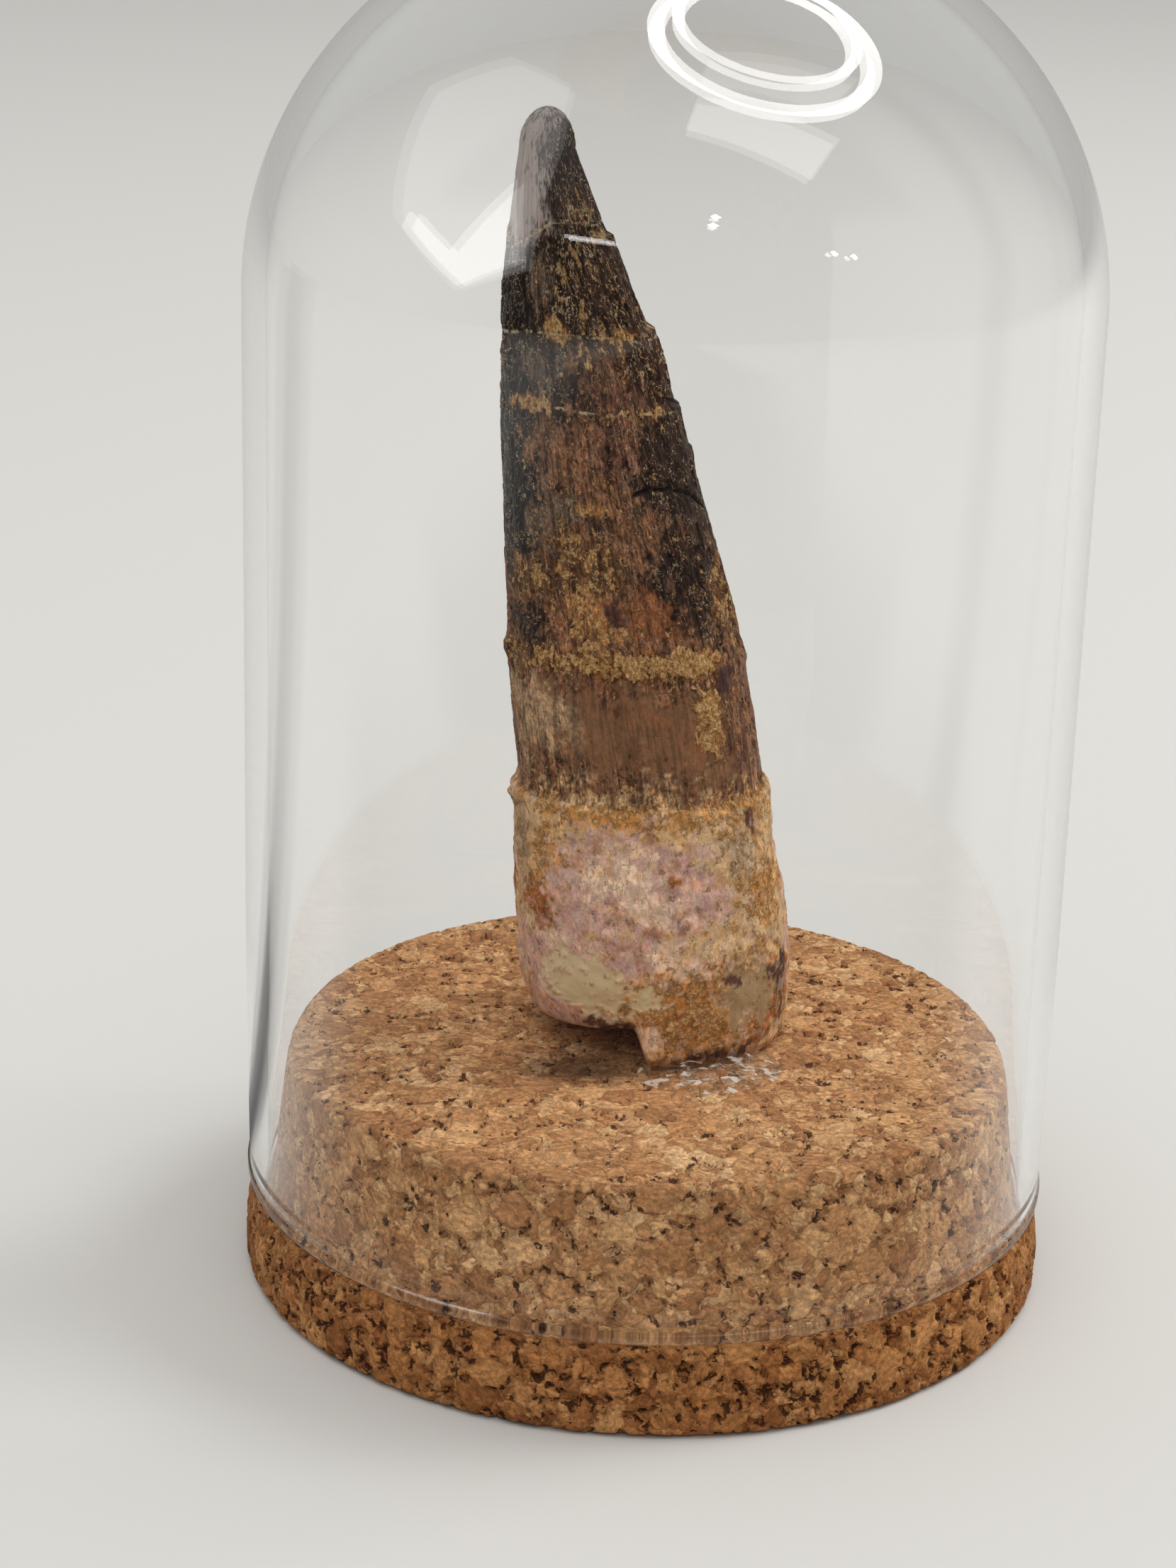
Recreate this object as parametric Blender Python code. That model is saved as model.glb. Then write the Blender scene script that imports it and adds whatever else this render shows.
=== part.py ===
"""A fossil spinosaurus tooth, stuck upright on a stepped cork base under a glass dome.

Run it with blender --background --python part.py, or from Blender's text editor.
+Z is up, -Y is the front, and the origin is the middle of the cork's flat underside.
Lengths here are in millimetres, and mesh_object turns them into metres.
"""
import math

import bpy
from mathutils import Vector, noise

MM = 0.001
GAP = 0.3

# Cork base: a disc with a shoulder for the dome's rim, and a plug that the dome fits over
DISC_RADIUS = 38.1
DISC_UNDERSIDE_RADIUS = 37.6
DISC_HEIGHT = 8.3
DISC_EDGE = 1.0
PLUG_RADIUS = 35.6
PLUG_TOP_RADIUS = 34.1
PLUG_TOP = 22.2
PLUG_EDGE = 0.9
CORK_SEGMENTS = 64

# Glass dome: a straight wall and a nearly round crown
DOME_RADIUS = 38.0
DOME_WALL = 2.1
DOME_SPRING = 92.3
CROWN_HEIGHT = 35.1
CROWN_THICKNESS = 2.0
DOME_SEGMENTS = 56
CROWN_STEPS = 9
RIM_STEPS = 4

# Tooth: its two side outlines seen from the front, as (height, sideways place) from the top down
LEFT_EDGE = (
    (104.6, -14.0), (98.0, -14.75), (92.0, -15.3), (82.0, -15.2), (75.0, -14.9), (66.0, -14.4),
    (57.0, -14.0), (48.0, -13.0), (39.0, -12.7), (33.0, -12.4), (28.0, -11.9), (22.0, -11.3),
)
RIGHT_EDGE = (
    (104.6, -9.1), (98.0, -6.4), (92.0, -3.5), (86.0, -0.8), (80.0, 1.2), (74.0, 3.2), (68.0, 5.2),
    (61.0, 7.2), (54.0, 8.7), (48.0, 9.8), (42.0, 10.8), (36.0, 11.9), (30.0, 12.8), (22.0, 13.1),
)
TOOTH_TIP = 108.2
TIP_BASE = 104.6
ROOT_DEPTH_RATIO = 0.93
TIP_DEPTH_RATIO = 1.10
ROUNDER_FROM = 78.0
TOOTH_CENTRE_Y = 1.7
TOOTH_SEGMENTS = 56
TOOTH_RING_STEP = 2.4
TIP_STEPS = 4

# Tooth, underside: a foot on the right that stands on the cork, and a broken lobe that clears it
FOOT_HEIGHT = PLUG_TOP + GAP
FOOT_EDGE = 1.6
FOOT_TOP = 30.0
EDGE_STEPS = 3
FLOOR_STEPS = 3
LOBE_LIFT = 3.8
LOBE_SAG = 0.16
LOBE_LIFT_BEHIND = 1.2
NOTCH_X = -0.5
NOTCH_WIDTH = 1.8
HOLLOW_DEPTH = 2.2
HOLLOW_RADIUS = 5.0

# Tooth, surface: angles go round from +X by way of +Y, so 180 is the left and 270 the front
ENAMEL_EDGE = 47.8
ENAMEL_EDGE_WAVE = 0.7
ROOT_STEP = 0.35
CROWN_LUMP = 0.12
ROOT_LUMP = 0.45
LUMP_SIZE = 5.5
SMOOTH_FOOT = 27.0
LEDGES = (  # height, angle, half width in degrees, how far the surface stands out below it, fade
    (97.3, 0.0, 55.0, 0.50, 5.0),
    (89.2, 355.0, 45.0, 0.55, 5.5),
    (82.7, 0.0, 40.0, 0.45, 6.0),
    (78.7, 5.0, 35.0, 0.30, 5.0),
)
CRUSTS = (  # height, angle, half width in degrees, half height, how far it stands out
    (97.0, 180.0, 25.0, 1.0, 0.30),
    (59.6, 185.0, 35.0, 1.5, 0.45),
    (59.4, 0.0, 45.0, 1.8, 0.40),
    (60.0, 290.0, 60.0, 1.6, 0.25),
    (61.0, 100.0, 55.0, 2.0, 0.40),
    (45.9, 190.0, 40.0, 1.5, 0.95),
    (46.5, 315.0, 40.0, 1.6, 0.25),
    (46.0, 75.0, 60.0, 1.8, 0.45),
)

# Clear glue: a low puddle that has run out in front of the foot
GLUE_START = -98.0
GLUE_END = -34.0
GLUE_WIDTH = 6.0
GLUE_BOTTOM = PLUG_TOP + GAP
GLUE_HEIGHT = 1.1
GLUE_LIP = 0.3
GLUE_STEPS = 18
GLUE_PROFILE = ((0.0, 1.0), (0.35, 0.9), (0.75, 0.5), (1.0, 0.0))


def clear_scene():
    for thing in list(bpy.data.objects):
        bpy.data.objects.remove(thing, do_unlink=True)


def make_material(name, colour, roughness, transmission=0.0):
    """A plain Principled material; the colour is linear RGB."""
    material = bpy.data.materials.new(name)
    material.use_nodes = True
    shader = material.node_tree.nodes["Principled BSDF"]
    shader.inputs["Base Color"].default_value = (*colour, 1.0)
    shader.inputs["Roughness"].default_value = roughness
    shader.inputs["Metallic"].default_value = 0.0
    shader.inputs["Transmission Weight"].default_value = transmission
    return material


def mesh_object(name, points, faces, material, sharp_angle=35.0):
    """One named object from points in millimetres, shaded smooth except at its sharp edges."""
    mesh = bpy.data.meshes.new(name)
    mesh.from_pydata([Vector(point) * MM for point in points], [], faces)
    mesh.materials.append(material)
    mesh.shade_smooth()
    mesh.set_sharp_from_angle(angle=math.radians(sharp_angle))
    thing = bpy.data.objects.new(name, mesh)
    bpy.context.collection.objects.link(thing)
    return thing


def skin(rings, first_tip, last_tip):
    """Points and faces of a closed form: a tip, rings of equal count, and another tip.

    The rings go round anticlockwise seen from above, and the form's first tip is its lower one.
    """
    count = len(rings[0])
    points = [first_tip]
    for ring in rings:
        points.extend(ring)
    points.append(last_tip)
    faces = []
    for j in range(count):
        faces.append((0, 1 + (j + 1) % count, 1 + j))
    for i in range(len(rings) - 1):
        low = 1 + i * count
        high = low + count
        for j in range(count):
            k = (j + 1) % count
            faces.append((low + j, low + k, high + k, high + j))
    top = 1 + (len(rings) - 1) * count
    for j in range(count):
        faces.append((top + j, top + (j + 1) % count, len(points) - 1))
    return points, faces


def turned(name, profile, segments, material):
    """Turns a profile of (radius, height) round the Z axis; both its ends lie on the axis."""
    turns = [2 * math.pi * j / segments for j in range(segments)]
    rings = [[(r * math.cos(t), r * math.sin(t), z) for t in turns] for r, z in profile[1:-1]]
    points, faces = skin(rings, (0.0, 0.0, profile[0][1]), (0.0, 0.0, profile[-1][1]))
    return mesh_object(name, points, faces, material)


def arc(centre, size, start, end, steps):
    """Points of an elliptical arc, with its angles in degrees and both ends included."""
    points = []
    for i in range(steps + 1):
        t = math.radians(start + (end - start) * i / steps)
        points.append((centre[0] + size[0] * math.cos(t), centre[1] + size[1] * math.sin(t)))
    return points


def cork_base():
    profile = [(0.0, 0.0), (DISC_UNDERSIDE_RADIUS, 0.0)]
    profile += [(DISC_RADIUS, DISC_EDGE), (DISC_RADIUS, DISC_HEIGHT / 2)]
    profile += [(DISC_UNDERSIDE_RADIUS, DISC_HEIGHT), (PLUG_RADIUS, DISC_HEIGHT)]
    edge_centre = (PLUG_TOP_RADIUS - PLUG_EDGE, PLUG_TOP - PLUG_EDGE)
    profile += arc(edge_centre, (PLUG_EDGE, PLUG_EDGE), 0, 90, 2)
    profile += [(0.0, PLUG_TOP)]
    cork = make_material("cork", (0.42, 0.22, 0.10), 0.85)
    return turned("cork_base", profile, CORK_SEGMENTS, cork)


def glass_dome():
    inner_radius = DOME_RADIUS - DOME_WALL
    inner_crown = CROWN_HEIGHT - CROWN_THICKNESS
    rim_radius = DOME_WALL / 2
    rim_centre = (DOME_RADIUS - rim_radius, DISC_HEIGHT + GAP + rim_radius)
    spring = (0.0, DOME_SPRING)
    profile = arc(spring, (inner_radius, inner_crown), 90, 0, CROWN_STEPS)
    profile += arc(rim_centre, (rim_radius, rim_radius), 180, 360, RIM_STEPS)
    profile += arc(spring, (DOME_RADIUS, CROWN_HEIGHT), 0, 90, CROWN_STEPS)
    glass = make_material("clear glass", (1.0, 1.0, 1.0), 0.02, transmission=1.0)
    return turned("glass_dome", profile, DOME_SEGMENTS, glass)


def smoothstep(t):
    t = min(max(t, 0.0), 1.0)
    return t * t * (3 - 2 * t)


def read_edge(edge, height):
    """Reads a smooth curve through an edge's (height, place) points, listed from the top down."""
    last = len(edge) - 1
    i = next((k for k in range(last) if height >= edge[k + 1][0]), last - 1)

    def slope(k):
        before = edge[max(k - 1, 0)]
        after = edge[min(k + 1, last)]
        return (after[1] - before[1]) / (after[0] - before[0])

    (z0, x0), (z1, x1) = edge[i], edge[i + 1]
    span = z1 - z0
    t = min(max((height - z0) / span, 0.0), 1.0)
    bend_in = (t ** 3 - 2 * t ** 2 + t) * span * slope(i)
    bend_out = (t ** 3 - t ** 2) * span * slope(i + 1)
    return x0 + (x1 - x0) * smoothstep(t) + bend_in + bend_out


def tooth_section(height):
    """The middle and half width of the tooth at a height, seen from the front."""
    left = read_edge(LEFT_EDGE, height)
    right = read_edge(RIGHT_EDGE, height)
    return (left + right) / 2, (right - left) / 2


def depth_ratio(height):
    """The section's depth as a share of its width: oval at the root, round to deep at the tip."""
    rounder = (height - ROUNDER_FROM) / (TIP_BASE - ROUNDER_FROM)
    return ROOT_DEPTH_RATIO + (TIP_DEPTH_RATIO - ROOT_DEPTH_RATIO) * smoothstep(rounder)


def angle_fade(turn, angle, half_width):
    """1 at an angle, and 0 from half_width degrees away."""
    away = abs((math.degrees(turn) - angle + 180) % 360 - 180)
    return smoothstep(1 - away / half_width)


def tooth_relief(turn, height):
    """How far the surface stands out from the smooth tooth, at an angle and a height."""
    spot = Vector((2.2 * math.cos(turn), 2.2 * math.sin(turn), height / LUMP_SIZE))
    lump = noise.noise(spot)
    edge_wave = noise.noise(Vector((math.cos(turn), math.sin(turn), 3.0)) * 2.0)
    edge = ENAMEL_EDGE + ENAMEL_EDGE_WAVE * edge_wave
    in_root = smoothstep(edge - height)
    out = in_root * (ROOT_STEP + ROOT_LUMP * lump) + (1 - in_root) * CROWN_LUMP * lump
    for top, angle, half_width, stand, fade in LEDGES:
        if top - fade < height <= top:
            out += stand * (1 - (top - height) / fade) * angle_fade(turn, angle, half_width)
    for middle, angle, half_width, half_height, stand in CRUSTS:
        out += stand * smoothstep(1 - abs(height - middle) / half_height) * angle_fade(turn, angle, half_width)
    settle = smoothstep((height - FOOT_HEIGHT) / (SMOOTH_FOOT - FOOT_HEIGHT))
    return out * settle


def underside(x, y):
    """The height of the tooth's underside: low on the right, broken away on the left."""
    lobe = smoothstep((NOTCH_X - x) / NOTCH_WIDTH + 0.5)
    behind = smoothstep(y / 8.0)
    front_lift = LOBE_LIFT - LOBE_SAG * max(NOTCH_X - x, 0.0)
    lift = front_lift + (LOBE_LIFT_BEHIND - front_lift) * behind
    middle = tooth_section(FOOT_HEIGHT)[0]
    from_middle = math.hypot(x - middle, y - TOOTH_CENTRE_Y)
    hollow = HOLLOW_DEPTH * smoothstep(1.5 - from_middle / HOLLOW_RADIUS)
    return FOOT_HEIGHT + max(lift * lobe, hollow)


def tooth_ring(height, shrink=1.0, inset=0.0):
    """One ring of the tooth's skin as flat points, before the underside bends it."""
    middle, half = tooth_section(height)
    deep = depth_ratio(height)
    ring = []
    for j in range(TOOTH_SEGMENTS):
        turn = 2 * math.pi * j / TOOTH_SEGMENTS
        reach = half * shrink - inset + tooth_relief(turn, height) * shrink
        x = middle + reach * math.cos(turn)
        y = TOOTH_CENTRE_Y + reach * deep * math.sin(turn)
        ring.append((x, y, height))
    return ring


def lowered(ring, above):
    """Sets a ring to a height above the underside, point by point."""
    return [(x, y, underside(x, y) + above) for x, y, _ in ring]


def foot_rings():
    """The tooth's floor, its rounded lower edge, and the sides that grow out of both."""
    rings = []
    half = tooth_section(FOOT_HEIGHT)[1] - FOOT_EDGE
    for i in range(1, FLOOR_STEPS + 1):
        inset = FOOT_EDGE + half * (1 - i / FLOOR_STEPS) * 0.99
        rings.append(lowered(tooth_ring(FOOT_HEIGHT, inset=inset), 0.0))
    for i in range(1, EDGE_STEPS + 1):
        t = math.pi / 2 * i / EDGE_STEPS
        ring = tooth_ring(FOOT_HEIGHT + FOOT_EDGE * (1 - math.cos(t)), inset=FOOT_EDGE * (1 - math.sin(t)))
        rings.append(lowered(ring, FOOT_EDGE * (1 - math.cos(t))))
    edge_top = FOOT_HEIGHT + FOOT_EDGE
    for i in (1, 2):
        t = i / 3
        height = edge_top + (FOOT_TOP - edge_top) * t
        side = tooth_ring(height)
        rings.append([(x, y, underside(x, y) + FOOT_EDGE + t * (FOOT_TOP - underside(x, y) - FOOT_EDGE))
                      for x, y, _ in side])
    return rings


def crown_heights():
    """Ring heights from the foot to the tip, with a close pair of rings at each ledge."""
    count = round((TIP_BASE - FOOT_TOP) / TOOTH_RING_STEP)
    heights = [FOOT_TOP + (TIP_BASE - FOOT_TOP) * i / count for i in range(count)]
    for top, *_ in LEDGES:
        heights = [height for height in heights if abs(height - top) > 0.7]
        heights += [top, top + 0.35]
    return sorted(heights)


def tooth():
    rings = foot_rings()
    rings += [tooth_ring(height) for height in crown_heights()]
    for i in range(TIP_STEPS):
        t = math.pi / 2 * i / TIP_STEPS
        ring = tooth_ring(TIP_BASE, shrink=math.cos(t))
        rise = (TOOTH_TIP - TIP_BASE) * math.sin(t)
        rings.append([(x, y, TIP_BASE + rise) for x, y, _ in ring])
    tip_x = tooth_section(TIP_BASE)[0]
    floor_x = tooth_section(FOOT_HEIGHT)[0]
    floor = (floor_x, TOOTH_CENTRE_Y, underside(floor_x, TOOTH_CENTRE_Y))
    points, faces = skin(rings, floor, (tip_x, TOOTH_CENTRE_Y, TOOTH_TIP))
    fossil = make_material("fossil enamel and root", (0.16, 0.09, 0.06), 0.45)
    return mesh_object("tooth", points, faces, fossil, sharp_angle=50.0)


def glue():
    """A fillet round the front of the foot: a strip of cross-sections that thin out at both ends."""
    middle, half = tooth_section(FOOT_HEIGHT)
    rows = []
    for i in range(GLUE_STEPS + 1):
        t = i / GLUE_STEPS
        turn = math.radians(GLUE_START + (GLUE_END - GLUE_START) * t)
        swell = math.sqrt(max(math.sin(math.pi * t), 0.0)) * 0.9 + 0.1
        row = []
        for across, high in GLUE_PROFILE:
            reach = half + GAP + 0.1 + across * GLUE_WIDTH * swell
            row.append((middle + reach * math.cos(turn),
                        TOOTH_CENTRE_Y + reach * ROOT_DEPTH_RATIO * math.sin(turn),
                        GLUE_BOTTOM + GLUE_LIP + (GLUE_HEIGHT - GLUE_LIP) * high * swell))
        under = [(x, y, GLUE_BOTTOM) for x, y, _ in reversed(row)]
        rows.append(row + under)
    width = len(rows[0])
    points = [point for row in rows for point in row]
    faces = [tuple(reversed(range(width)))]
    for i in range(GLUE_STEPS):
        for j in range(width):
            k = (j + 1) % width
            a = i * width
            b = a + width
            faces.append((a + j, a + k, b + k, b + j))
    faces.append(tuple(GLUE_STEPS * width + j for j in range(width)))
    clear = make_material("clear glue", (0.95, 0.93, 0.88), 0.15, transmission=0.8)
    return mesh_object("glue", points, faces, clear)


clear_scene()
cork_base()
glass_dome()
tooth()
glue()
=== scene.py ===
"""A fossil spinosaurus tooth on a stepped cork base under a glass dome, dressed for its photograph.

Lengths in the tables below are in millimetres, and MM turns them into metres. Angles round the
tooth go from +X by way of +Y: 180 is its left and 270 its front.
"""
from math import atan2, cos, dist, pi, radians, sin, sqrt

import bpy
import numpy as np
from mathutils import Matrix, Vector, noise


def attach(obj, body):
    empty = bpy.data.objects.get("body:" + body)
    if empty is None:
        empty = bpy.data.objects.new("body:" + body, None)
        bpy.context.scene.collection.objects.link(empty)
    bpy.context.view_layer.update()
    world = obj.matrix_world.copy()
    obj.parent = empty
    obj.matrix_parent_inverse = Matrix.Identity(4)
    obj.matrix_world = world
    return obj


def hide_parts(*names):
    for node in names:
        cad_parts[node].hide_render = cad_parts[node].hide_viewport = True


MM = 0.001

# Cork base
DISC_RADIUS = 38.1
DISC_UNDERSIDE_RADIUS = 37.6
DISC_HEIGHT = 8.3
DISC_EDGE = 1
PLUG_RADIUS = 35.6
PLUG_TOP_RADIUS = 34.1
PLUG_TOP = 22.2
PLUG_EDGE = 0.9
CORK_GRID = 170
CORK_ROW = 0.37
GRANULE = 2.7
SMALL_GRANULE = 1.2
CARVING = {"pore": 0.75, "seam": 0.05, "dash": 0.16, "tone": 0.1}  # how deep each part sinks
# painted shadow: a darker patch on the cork's top in front of the tooth's raised lobe, where shade falls
PAINTED_SHADOW_CENTRE = Vector((-6, -8.8, 0))
PAINTED_SHADOW_RADIUS = 9

# Glass dome
DOME_RADIUS = 38
DOME_WALL = 2.1
DOME_SPRING = 92.3
DOME_GAP = 0.3
CROWN_HEIGHT = 35.1
CROWN_THICKNESS = 2
DOME_SEGMENTS = 224
GLASS_WAVE = 0.05
RIM_BEAD = 38
RIM_BLEND = 28

# Tooth: its two side outlines seen from the front, as (height, sideways place) from the top down
LEFT_EDGE = (
    (104.6, -14), (98, -14.75), (92, -15.3), (82, -15.2), (75, -14.9), (66, -14.4),
    (57, -14), (48, -13), (39, -12.7), (33, -12.4), (28, -11.9), (22, -11.3),
)
RIGHT_EDGE = (
    (104.6, -9.1), (98, -6.4), (92, -3.5), (86, -0.8), (80, 1.2), (74, 3.2), (68, 5.2),
    (61, 7.2), (54, 8.7), (48, 9.8), (42, 10.8), (36, 11.9), (30, 12.8), (22, 13.1),
)
TOOTH_TIP = 108.2
TIP_BASE = 104.6
ROOT_DEPTH_RATIO = 0.93
TIP_DEPTH_RATIO = 1.10
ROUNDER_FROM = 78
TOOTH_CENTRE_Y = 1.7
TOOTH_SEGMENTS = 300
TOOTH_RING_STEP = 0.30
TOOTH_FLOOR = 22.3
FOOT_EDGE = 1.6
FOOT_TOP = 30
LOBE_LIFT = 3.8
LOBE_SAG = 0.16
LOBE_LIFT_BEHIND = 1.2
NOTCH_X = -0.5
NOTCH_WIDTH = 1.8
HOLLOW_DEPTH = 2.2
HOLLOW_RADIUS = 5
ENAMEL_EDGE = 47.8
ENAMEL_EDGE_WAVE = 0.7
ROOT_STEP = 0.35
CROWN_LUMP = 0.12
ROOT_LUMP = 0.45
LUMP_SIZE = 5.5
SMOOTH_FOOT = 27
SKIN_RADIUS = 12
LEDGES = (  # height, angle, half width in degrees, how far the surface stands out below it, fade
    (97.3, 0, 55, 0.5, 5),
    (89.2, 355, 45, 0.55, 5.5),
    (82.7, 0, 40, 0.45, 6),
    (78.7, 5, 35, 0.3, 5),
)
CRUSTS = (  # height, angle, half width in degrees, half height, how far it stands out
    (97, 180, 25, 1, 0.3), (59.6, 185, 35, 1.5, 0.45),
    (59.4, 0, 45, 1.8, 0.4), (60, 290, 60, 1.6, 0.25),
    (61, 100, 55, 2, 0.4), (45.9, 190, 40, 1.5, 0.95),
    (46.5, 315, 40, 1.6, 0.25), (46, 75, 60, 1.8, 0.45),
)

# Tooth, finishes: colour, gloss, wrinkle, ochre crumbs, cream crumbs, grey streaks (flute depth and painted
# highlight streaks), relief in mm
FINISHES = {
    "near black": ((29, 20, 16), 0.9, 0.8, 0.08, 0.4, 0.12, 0),
    "dark brown": ((58, 38, 29), 0.85, 0.8, 0.16, 0.28, 0.12, 0),
    "wrinkled brown": ((76, 49, 36), 0.7, 1, 0.26, 0.42, 0.1, 0),
    "red brown": ((54, 30, 23), 0.5, 0.8, 0.1, 0.5, 0.1, 0),
    "mid brown": ((156, 109, 78), 0.7, 0.9, 0.2, 0.2, 0.2, 0),
    "even brown": ((140, 99, 69), 0.65, 0.2, 0.08, 0.03, 0.05, 0),
    "pink brown": ((148, 101, 78), 0.6, 0.9, 0.18, 0.28, 0.25, 0),
    # partly the tip's own grey glaze and partly painted sheen: a pale grey for the gleam on the tip's left
    "grey glaze and painted sheen": ((172, 154, 146), 0.95, 0, 0, 0, 0.6, 0),
    "grey film": ((122, 100, 82), 0.6, 0.8, 0.2, 0.3, 0.5, 0),
    "pale grey": ((192, 156, 120), 0.4, 0.5, 0.2, 0.35, 0.1, 0.02),
    "ochre net": ((132, 92, 60), 0.4, 0.8, 0.44, 0.3, 0, 0.04),
    "ochre crust": ((148, 94, 46), 0.15, 0.9, 0.62, 0.25, 0, 0.1),
    "bright ochre": ((182, 124, 66), 0.15, 0.9, 0.74, 0.35, 0, 0.12),
    "tan smear": ((196, 138, 88), 0.4, 0.6, 0.45, 0.15, 0, 0.04),
    "cream crumbs": ((120, 90, 64), 0.3, 0.9, 0.4, 0.95, 0, 0.08),
    "cream streaks": ((184, 150, 112), 0.2, 0.6, 0.3, 0.9, 0, 0.06),
    "squiggles": ((58, 40, 30), 0.5, 1, 0.34, 0.8, 0, 0.06),
    "rust": ((152, 96, 60), 0.6, 0.5, 0.28, 0, 0.1, 0),
    "purple brown": ((84, 54, 48), 0.7, 0.4, 0.05, 0.05, 0.2, 0),
    "mauve": ((216, 170, 156), 0.25, 0.6, 0.15, 0.3, 0, 0),
    "pink white": ((250, 212, 184), 0.25, 0.5, 0.05, 0.6, 0, 0.03),
    "root cream": ((226, 184, 136), 0.25, 0.6, 0.25, 0.4, 0, 0.03),
    "root ochre": ((214, 154, 92), 0.25, 0.8, 0.45, 0.2, 0, 0.04),
    "root rust": ((180, 112, 64), 0.3, 0.9, 0.35, 0.1, 0, 0),
    "khaki": ((222, 198, 156), 0.45, 0.05, 0, 0.05, 0, -0.16),
    "dull khaki": ((174, 144, 104), 0.45, 0.2, 0.1, 0.05, 0, -0.12),
    "foot ochre": ((206, 146, 86), 0.25, 1, 0.5, 0.15, 0, 0.03),
    # painted shade: a dark brown for the foot's lower edges, where shade falls against the cork and glue
    "painted foot shade": ((96, 64, 46), 0.3, 0.8, 0.2, 0.1, 0, 0),
    "dark blot": ((96, 62, 48), 0.35, 0.6, 0.1, 0, 0, -0.05),
}
PATCHES = (  # finish, angle, height, half width and half height in mm, and any tilt in degrees
    ("near black", 205, 88, 9, 11), ("dark brown", 285, 90, 7, 10),
    # the grey glaze patches at the tip's left are partly painted sheen
    ("wrinkled brown", 325, 89, 6, 9), ("grey glaze and painted sheen", 232, 103.4, 4.4, 6.6, -6),
    ("grey glaze and painted sheen", 225, 99.6, 3.6, 3.4), ("red brown", 318, 104.4, 2.6, 3.8, -10),
    ("red brown", 312, 101.8, 3.4, 3.4, -14), ("wrinkled brown", 315, 99.8, 3.4, 2),
    ("cream crumbs", 318, 99.6, 2, 0.9), ("cream crumbs", 330, 97.6, 1.6, 0.5),
    ("cream crumbs", 195, 97.2, 0.9, 1), ("squiggles", 284, 96.3, 3.2, 1.4),
    ("squiggles", 268, 92.8, 2.3, 3.4), ("cream crumbs", 190, 92.4, 0.7, 0.8),
    ("cream crumbs", 192, 87.4, 0.6, 1.5), ("cream crumbs", 188, 83.9, 0.9, 0.5),
    ("cream crumbs", 190, 81.8, 0.6, 1), ("grey film", 248, 93.4, 1.5, 2.8),
    ("wrinkled brown", 312, 92.6, 3, 3.4), ("bright ochre", 259, 89.4, 0.9, 1.5, 20),
    ("ochre crust", 311, 88.8, 2.2, 0.6), ("ochre net", 296, 87.6, 4, 1.6, 10),
    ("bright ochre", 232, 83.1, 3.2, 0.9), ("grey film", 241, 86, 2, 1.8),
    ("pink brown", 296, 84.2, 3.6, 3.6), ("wrinkled brown", 320, 86, 3, 3),
    ("ochre net", 303, 82.4, 5.2, 0.8), ("bright ochre", 326, 82.3, 1, 0.6),
    ("mid brown", 262, 78, 8, 4.5), ("pink brown", 292, 79.4, 4, 3),
    ("dark brown", 330, 76.5, 7, 6.5), ("near black", 205, 74, 5, 9),
    ("grey film", 246, 72.6, 4, 3.2), ("tan smear", 267, 74.4, 2.2, 0.7),
    ("mid brown", 280, 70, 7.5, 4.5), ("ochre net", 257, 69, 4.2, 3.4),
    ("ochre net", 222, 67.2, 4, 2.4), ("dark brown", 218, 62.9, 4.6, 2.2),
    ("tan smear", 261, 64.6, 3.6, 2.8), ("purple brown", 272, 65, 1.1, 1.6),
    ("rust", 290, 64.8, 3.6, 2.8), ("dark brown", 320, 67, 4.6, 6.6, 8),
    ("ochre net", 347, 65, 3.4, 5), ("ochre crust", 268, 60.6, 11, 1.5),
    ("bright ochre", 307, 60.6, 3.6, 1.5), ("ochre net", 198, 59.6, 4, 1.8),
    ("pale grey", 228, 57.4, 2.6, 2), ("even brown", 262, 54.6, 9.5, 4.6),
    ("even brown", 300, 53, 6, 5), ("bright ochre", 313, 55.6, 2.2, 3.6),
    ("purple brown", 327, 58.2, 2.2, 1.8), ("mid brown", 340, 54, 4.2, 5),
    ("pale grey", 224, 54.6, 4.4, 2.8), ("pale grey", 204, 54, 3.4, 5.6),
    ("root cream", 262, 43, 18, 6.5), ("root ochre", 265, 46.6, 15, 1.4),
    ("root ochre", 326, 46.2, 5, 2.2), ("cream streaks", 202, 43.2, 2.8, 3.6),
    ("root ochre", 226, 41, 3.4, 3.4, 15), ("root rust", 216, 36.8, 3.2, 2.4),
    ("mauve", 240, 37.6, 4.6, 4.4), ("mauve", 262, 42, 7.4, 3.8),
    ("mauve", 282, 38.6, 6.4, 4.8), ("pink white", 258, 41, 4.4, 2.6, 20),
    ("pink white", 272, 38, 3, 1.6), ("root rust", 283, 41, 1.2, 0.6),
    ("cream streaks", 318, 42.6, 2.2, 3.4), ("root ochre", 334, 39, 3.8, 3.6),
    ("dark blot", 326, 45.6, 1.6, 0.9, -50), ("mauve", 214, 31, 6.5, 4),
    ("pink white", 232, 33.6, 3, 1.4), ("mauve", 262, 33.4, 6, 3),
    ("pink white", 285, 33, 4.4, 2.6), ("root cream", 306, 34.6, 4, 2.6),
    ("root rust", 320, 28.6, 6, 5), ("foot ochre", 284, 27.6, 6.4, 5),
    ("purple brown", 338, 29.5, 1.8, 3.6), ("khaki", 243, 30, 6.2, 3.8),
    ("dull khaki", 316, 29.2, 4.4, 3.5, 12), ("dark blot", 330, 30.6, 1.2, 0.9),
    ("dark blot", 306, 30.9, 1.2, 0.7), ("mauve", 222, 26.6, 4.6, 1.6),
    # the foot shade patches are painted shade along the foot's lower edges
    ("painted foot shade", 248, 26.2, 3.2, 1.1), ("pink white", 267, 25.4, 1.6, 1.7),
    ("painted foot shade", 300, 23.4, 5, 1.3),
)
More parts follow.
